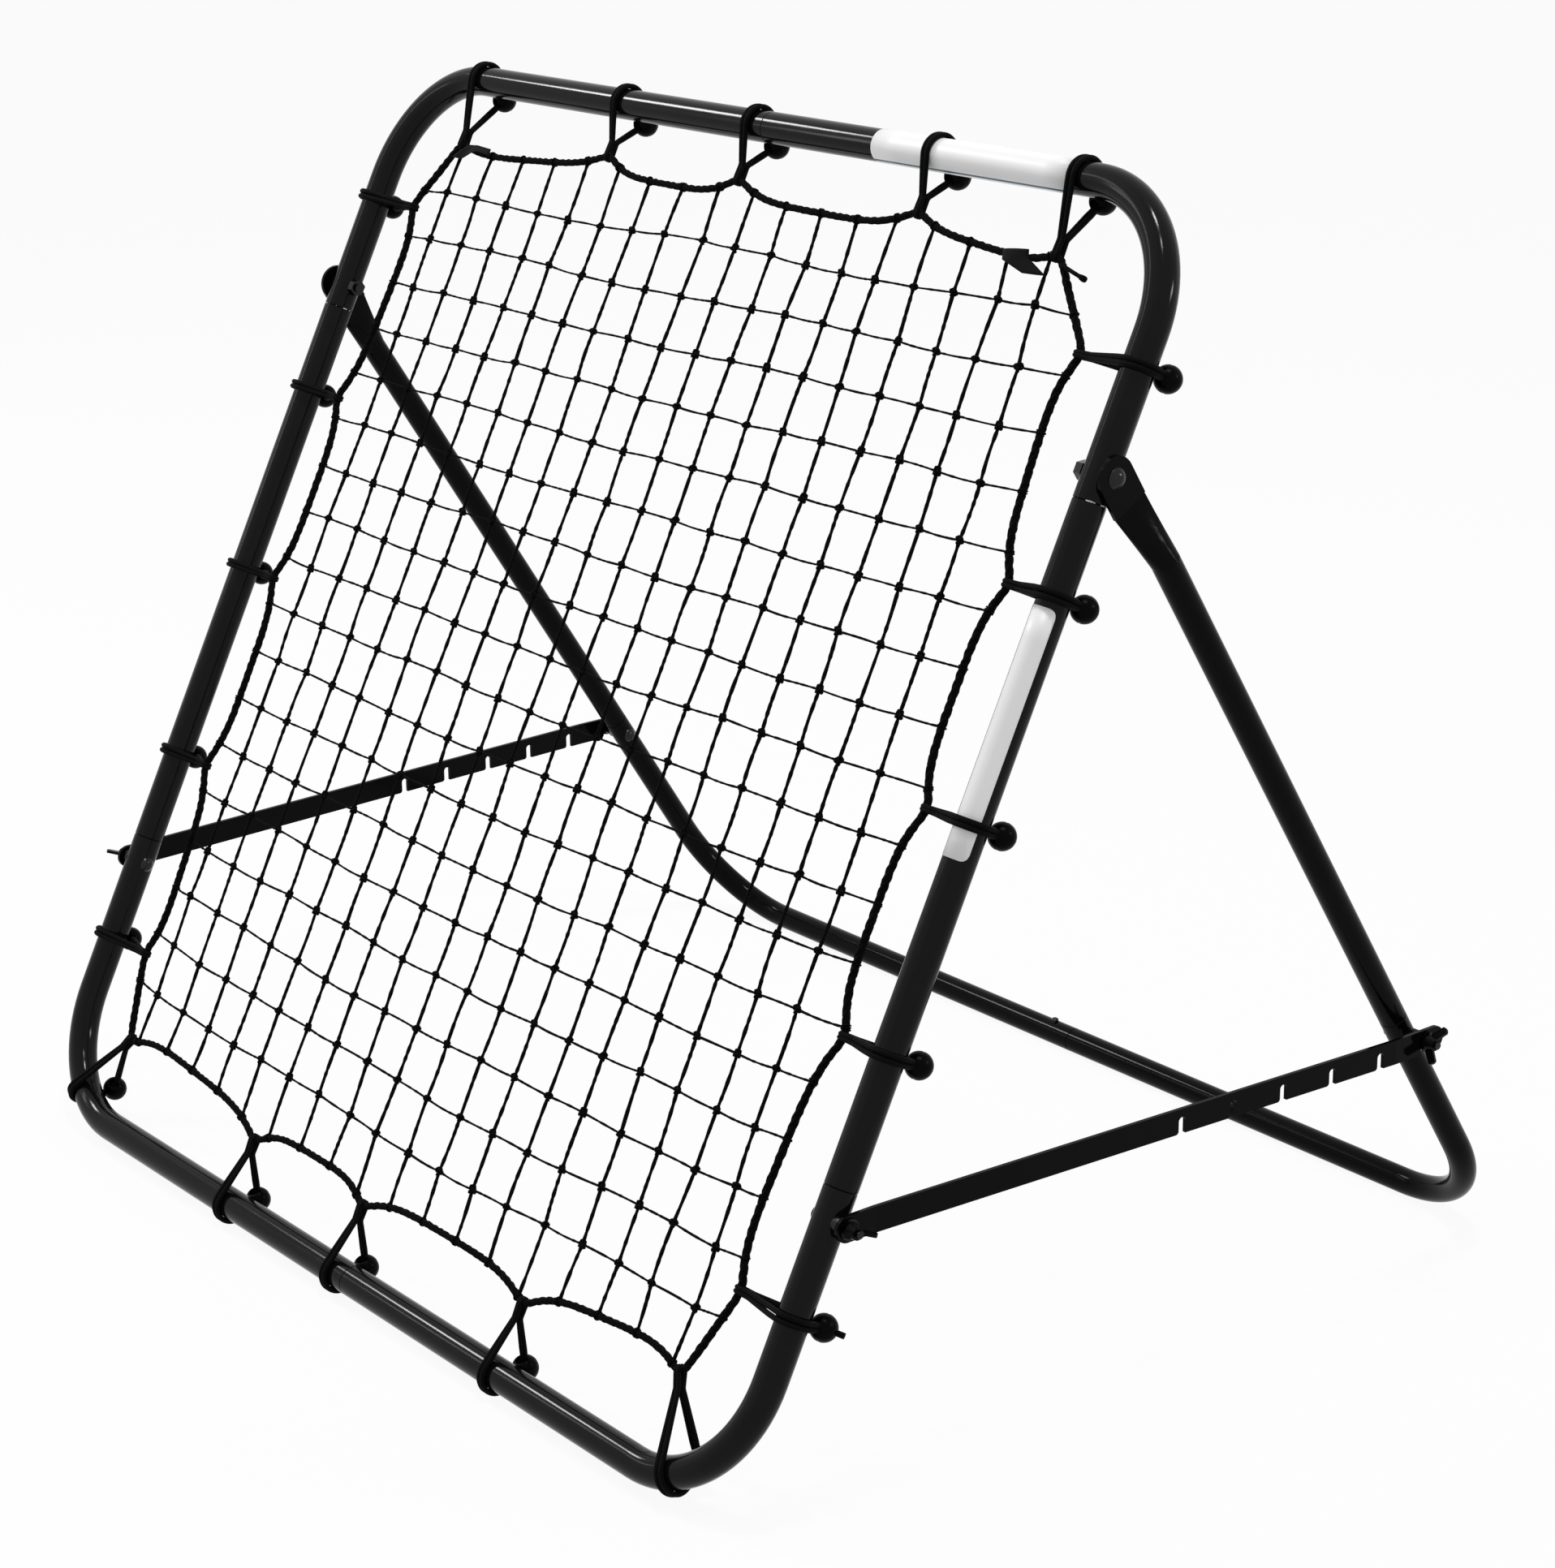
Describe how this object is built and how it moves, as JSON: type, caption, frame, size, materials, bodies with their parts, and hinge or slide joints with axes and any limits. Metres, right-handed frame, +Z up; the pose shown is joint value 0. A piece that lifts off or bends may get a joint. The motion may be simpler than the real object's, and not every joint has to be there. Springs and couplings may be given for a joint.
{
  "type": "pitch back rebounder",
  "caption": "Folding lawn-game rebounder: a leaning square tube frame with a net on ball bungees, propped by a hinged U-shaped rear support and notched side bars.",
  "frame": {"origin": "on the ground, under the middle of the object's bounding box", "axes": "+X along the frame's width to the right seen from the front, +Y towards the rear support, +Z up"},
  "size_m": [1.1096, 0.8132, 0.9041],
  "materials": {
    "black_paint": "semi-gloss black powder coat",
    "black_fastener": "black plated, satin",
    "zinc_steel": "bright zinc plated",
    "spring_steel": "bare spring steel",
    "net_twine": "black knotted polyethylene twine",
    "border_cord": "black braided cord",
    "bungee_cord": "black woven elastic cord",
    "ball_plastic": "glossy black moulded plastic"
  },
  "bodies": {
    "main_frame": {"top_left_corner_tube": "black_paint", "top_right_corner_tube": "black_paint", "left_side_tube": "black_paint", "right_side_tube": "black_paint", "bottom_left_corner_tube": "black_paint", "bottom_right_corner_tube": "black_paint", "net": "net_twine", "border_rope": "border_cord", "top_bungee_1": "bungee_cord", "top_bungee_2": "bungee_cord", "top_bungee_3": "bungee_cord", "top_bungee_4": "bungee_cord", "top_bungee_5": "bungee_cord", "right_bungee_1": "bungee_cord", "right_bungee_2": "bungee_cord", "right_bungee_3": "bungee_cord", "right_bungee_4": "bungee_cord", "right_bungee_5": "bungee_cord", "left_bungee_1": "bungee_cord", "left_bungee_2": "bungee_cord", "left_bungee_3": "bungee_cord", "left_bungee_4": "bungee_cord", "left_bungee_5": "bungee_cord", "bottom_bungee_1": "bungee_cord", "bottom_bungee_2": "bungee_cord", "bottom_bungee_3": "bungee_cord", "bottom_bungee_4": "bungee_cord", "bottom_bungee_5": "bungee_cord", "top_bungee_balls": "ball_plastic", "right_bungee_balls": "ball_plastic", "left_bungee_balls": "ball_plastic", "bottom_bungee_balls": "ball_plastic", "left_hinge_bolt": "zinc_steel", "right_hinge_bolt": "zinc_steel", "hinge_nuts": "zinc_steel", "hinge_saddle_washers": "zinc_steel", "left_pivot_bolt": "zinc_steel", "right_pivot_bolt": "zinc_steel", "pivot_saddle_washers": "zinc_steel", "pivot_washers": "zinc_steel"},
    "rear_support": {"left_leg_tube": "black_paint", "right_leg_tube": "black_paint", "rear_left_corner_tube": "black_paint", "rear_right_corner_tube": "black_paint", "left_hook_bolt": "zinc_steel", "right_hook_bolt": "zinc_steel", "hook_spacers": "black_fastener", "hook_washers": "zinc_steel", "snap_spring": "spring_steel"},
    "left_bar": {"left_notched_bar": "black_paint"},
    "right_bar": {"right_notched_bar": "black_paint"},
    "left_pivot_nut": {"left_pivot_wing_nut": "black_fastener"},
    "right_pivot_nut": {"right_pivot_wing_nut": "black_fastener"},
    "left_hook_nut": {"left_hook_wing_nut": "black_fastener"},
    "right_hook_nut": {"right_hook_wing_nut": "black_fastener"},
    "lock_button": {"snap_button": "zinc_steel"}
  },
  "joints": [
    {"name": "support_fold", "type": "hinge", "parent": "main_frame", "child": "rear_support", "pos_m": [0, -0.03846, 0.70436], "axis": [-1, 0, 0], "range_deg": [0, 35]},
    {"name": "left_bar_swing", "type": "hinge", "parent": "main_frame", "child": "left_bar", "pos_m": [-0.4873, -0.28816, 0.2143], "axis": [1, 0, 0], "range_deg": [0, 61.8]},
    {"name": "right_bar_swing", "type": "hinge", "parent": "main_frame", "child": "right_bar", "pos_m": [0.4873, -0.28816, 0.2143], "axis": [1, 0, 0], "range_deg": [0, 61.8]},
    {"name": "left_pivot_nut_turn", "type": "hinge", "parent": "main_frame", "child": "left_pivot_nut", "pos_m": [-0.4873, -0.28816, 0.2143], "axis": [-1, 0, 0], "continuous": true},
    {"name": "left_hook_nut_turn", "type": "hinge", "parent": "rear_support", "child": "left_hook_nut", "pos_m": [-0.4873, 0.27034, 0.21104], "axis": [-1, 0, 0], "continuous": true},
    {"name": "right_pivot_nut_turn", "type": "hinge", "parent": "main_frame", "child": "right_pivot_nut", "pos_m": [0.4873, -0.28816, 0.2143], "axis": [1, 0, 0], "continuous": true},
    {"name": "right_hook_nut_turn", "type": "hinge", "parent": "rear_support", "child": "right_hook_nut", "pos_m": [0.4873, 0.27034, 0.21104], "axis": [1, 0, 0], "continuous": true},
    {"name": "button_press", "type": "slide", "parent": "rear_support", "child": "lock_button", "axis": [0, 0, -1], "range_m": [0, 0.003], "stiffness_N_per_m": 600, "springref_m": -0.002, "deforming": ["snap_spring"]}
  ],
  "couplings": [
    {"joint": "left_bar_swing", "follows": "support_fold", "ratio": 1.75},
    {"joint": "right_bar_swing", "follows": "support_fold", "ratio": 1.75}
  ]
}
